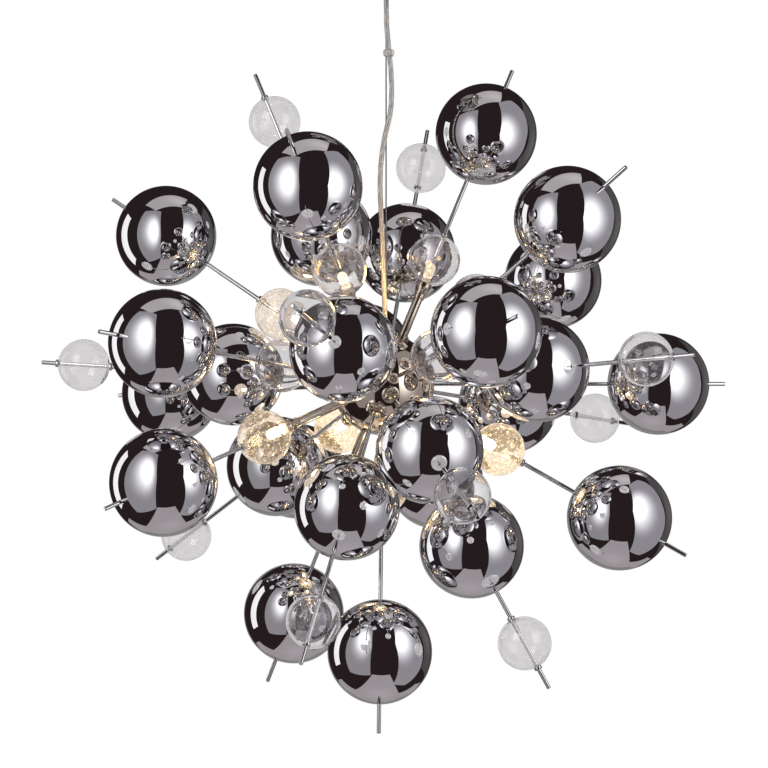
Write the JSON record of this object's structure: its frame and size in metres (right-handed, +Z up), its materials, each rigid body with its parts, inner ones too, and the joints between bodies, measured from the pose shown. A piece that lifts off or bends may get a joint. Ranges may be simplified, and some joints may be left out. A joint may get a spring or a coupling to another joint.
{
  "type": "glass pendant light",
  "caption": "Pendant light of mirrored and clear glass balls on straight rods round a chrome hub, hung from a round canopy by a wire with a clear cable.",
  "frame": {"origin": "centre of the ceiling plate's top face, on the ceiling, right above the suspension wire", "axes": "+Z up, X to the right and +Y away from the viewer, as the picture shows the light"},
  "size_m": [0.6746, 0.6541, 0.7716],
  "materials": {
    "zinc_steel": "zinc plated steel, satin",
    "wire_steel": "fine stranded steel wire",
    "white_plastic": "plain white moulded plastic",
    "chrome_plate": "polished chrome plate",
    "hub_chrome": "cast aluminium, polished and chrome plated",
    "cable_plastic": "clear plastic cable with copper strands showing through",
    "clip_plastic": "clear moulded plastic",
    "clear_glass": "clear blown glass",
    "mirrored_glass": "blown glass, mirrored to look like chrome",
    "ceramic": "white ceramic pin holder",
    "bulb_glass": "clear capsule bulb"
  },
  "bodies": {
    "ceiling": {"ceiling_plate": "zinc_steel", "ceiling_eye": "zinc_steel", "eye_nut": "zinc_steel", "transformer": "white_plastic", "transformer_screws": "zinc_steel", "terminal_block": "white_plastic"},
    "canopy": {"canopy": "chrome_plate", "canopy_bush": "white_plastic", "canopy_screws": "chrome_plate"},
    "shackle": {"shackle_bow": "zinc_steel", "shackle_pin": "zinc_steel"},
    "pendant": {"wire_eye": "wire_steel", "suspension_wire": "wire_steel", "wire_stop": "wire_steel", "power_cable": "cable_plastic", "cable_clip": "clip_plastic", "hub_ball": "hub_chrome", "hub_cap": "hub_chrome", "hub_terminal": "ceramic", "plain_rods": "chrome_plate", "clear_balls": "clear_glass", "ball_collars": "chrome_plate", "outer_chrome_balls": "mirrored_glass", "inner_chrome_balls": "mirrored_glass", "lamp_stems": "chrome_plate", "lamp_cups": "chrome_plate", "lamp_holders": "ceramic"},
    "lamp_1_head": {"lamp_1_globe": "clear_glass", "lamp_1_rod": "chrome_plate", "lamp_1_ball": "mirrored_glass"},
    "lamp_1_bulb": {"lamp_1_bulb": "bulb_glass"},
    "lamp_2_head": {"lamp_2_globe": "clear_glass", "lamp_2_rod": "chrome_plate", "lamp_2_ball": "mirrored_glass"},
    "lamp_2_bulb": {"lamp_2_bulb": "bulb_glass"},
    "lamp_3_head": {"lamp_3_globe": "clear_glass", "lamp_3_rod": "chrome_plate", "lamp_3_ball": "mirrored_glass"},
    "lamp_3_bulb": {"lamp_3_bulb": "bulb_glass"},
    "lamp_4_head": {"lamp_4_globe": "clear_glass", "lamp_4_rod": "chrome_plate", "lamp_4_ball": "mirrored_glass"},
    "lamp_4_bulb": {"lamp_4_bulb": "bulb_glass"},
    "lamp_5_head": {"lamp_5_globe": "clear_glass", "lamp_5_rod": "chrome_plate", "lamp_5_ball": "mirrored_glass"},
    "lamp_5_bulb": {"lamp_5_bulb": "bulb_glass"},
    "lamp_6_head": {"lamp_6_globe": "clear_glass", "lamp_6_rod": "chrome_plate", "lamp_6_ball": "mirrored_glass"},
    "lamp_6_bulb": {"lamp_6_bulb": "bulb_glass"},
    "lamp_7_head": {"lamp_7_globe": "clear_glass", "lamp_7_rod": "chrome_plate", "lamp_7_ball": "mirrored_glass"},
    "lamp_7_bulb": {"lamp_7_bulb": "bulb_glass"},
    "lamp_8_head": {"lamp_8_globe": "clear_glass", "lamp_8_rod": "chrome_plate", "lamp_8_ball": "mirrored_glass"},
    "lamp_8_bulb": {"lamp_8_bulb": "bulb_glass"}
  },
  "joints": [
    {"name": "canopy_slide", "type": "slide", "parent": "ceiling", "child": "canopy", "axis": [0, 0, -1], "range_m": [0, 0.03]},
    {"name": "pendant_swing_front", "type": "hinge", "parent": "ceiling", "child": "shackle", "pos_m": [0, 0, -0.0196], "axis": [1, 0, 0], "range_deg": [-4, 4]},
    {"name": "pendant_swing_side", "type": "hinge", "parent": "shackle", "child": "pendant", "pos_m": [0, 0, -0.0312], "axis": [0, 1, 0], "range_deg": [-4, 4]},
    {"name": "lamp_1_head_pull", "type": "slide", "parent": "pendant", "child": "lamp_1_head", "axis": [0.3771, 0.1524, 0.9135], "range_m": [0, 0.024]},
    {"name": "lamp_1_bulb_pull", "type": "slide", "parent": "pendant", "child": "lamp_1_bulb", "axis": [0.3771, 0.1524, 0.9135], "range_m": [0, 0.006]},
    {"name": "lamp_2_head_pull", "type": "slide", "parent": "pendant", "child": "lamp_2_head", "axis": [-0.2542, -0.6983, 0.6691], "range_m": [0, 0.024]},
    {"name": "lamp_2_bulb_pull", "type": "slide", "parent": "pendant", "child": "lamp_2_bulb", "axis": [-0.2542, -0.6983, 0.6691], "range_m": [0, 0.006]},
    {"name": "lamp_3_head_pull", "type": "slide", "parent": "pendant", "child": "lamp_3_head", "axis": [-0.7976, 0.2592, 0.5446], "range_m": [0, 0.024]},
    {"name": "lamp_3_bulb_pull", "type": "slide", "parent": "pendant", "child": "lamp_3_bulb", "axis": [-0.7976, 0.2592, 0.5446], "range_m": [0, 0.006]},
    {"name": "lamp_4_head_pull", "type": "slide", "parent": "pendant", "child": "lamp_4_head", "axis": [-0.7428, -0.5803, -0.3338], "range_m": [0, 0.024]},
    {"name": "lamp_4_bulb_pull", "type": "slide", "parent": "pendant", "child": "lamp_4_bulb", "axis": [-0.7428, -0.5803, -0.3338], "range_m": [0, 0.006]},
    {"name": "lamp_5_head_pull", "type": "slide", "parent": "pendant", "child": "lamp_5_head", "axis": [0.8426, -0.2496, -0.4772], "range_m": [0, 0.024]},
    {"name": "lamp_5_bulb_pull", "type": "slide", "parent": "pendant", "child": "lamp_5_bulb", "axis": [0.8426, -0.2496, -0.4772], "range_m": [0, 0.006]},
    {"name": "lamp_6_head_pull", "type": "slide", "parent": "pendant", "child": "lamp_6_head", "axis": [-0.3368, 0.8773, -0.342], "range_m": [0, 0.024]},
    {"name": "lamp_6_bulb_pull", "type": "slide", "parent": "pendant", "child": "lamp_6_bulb", "axis": [-0.3368, 0.8773, -0.342], "range_m": [0, 0.006]},
    {"name": "lamp_7_head_pull", "type": "slide", "parent": "pendant", "child": "lamp_7_head", "axis": [-0.3433, 0.3202, -0.8829], "range_m": [0, 0.024]},
    {"name": "lamp_7_bulb_pull", "type": "slide", "parent": "pendant", "child": "lamp_7_bulb", "axis": [-0.3433, 0.3202, -0.8829], "range_m": [0, 0.006]},
    {"name": "lamp_8_head_pull", "type": "slide", "parent": "pendant", "child": "lamp_8_head", "axis": [-0.0118, -0.2246, -0.9744], "range_m": [0, 0.024]},
    {"name": "lamp_8_bulb_pull", "type": "slide", "parent": "pendant", "child": "lamp_8_bulb", "axis": [-0.0118, -0.2246, -0.9744], "range_m": [0, 0.006]}
  ]
}
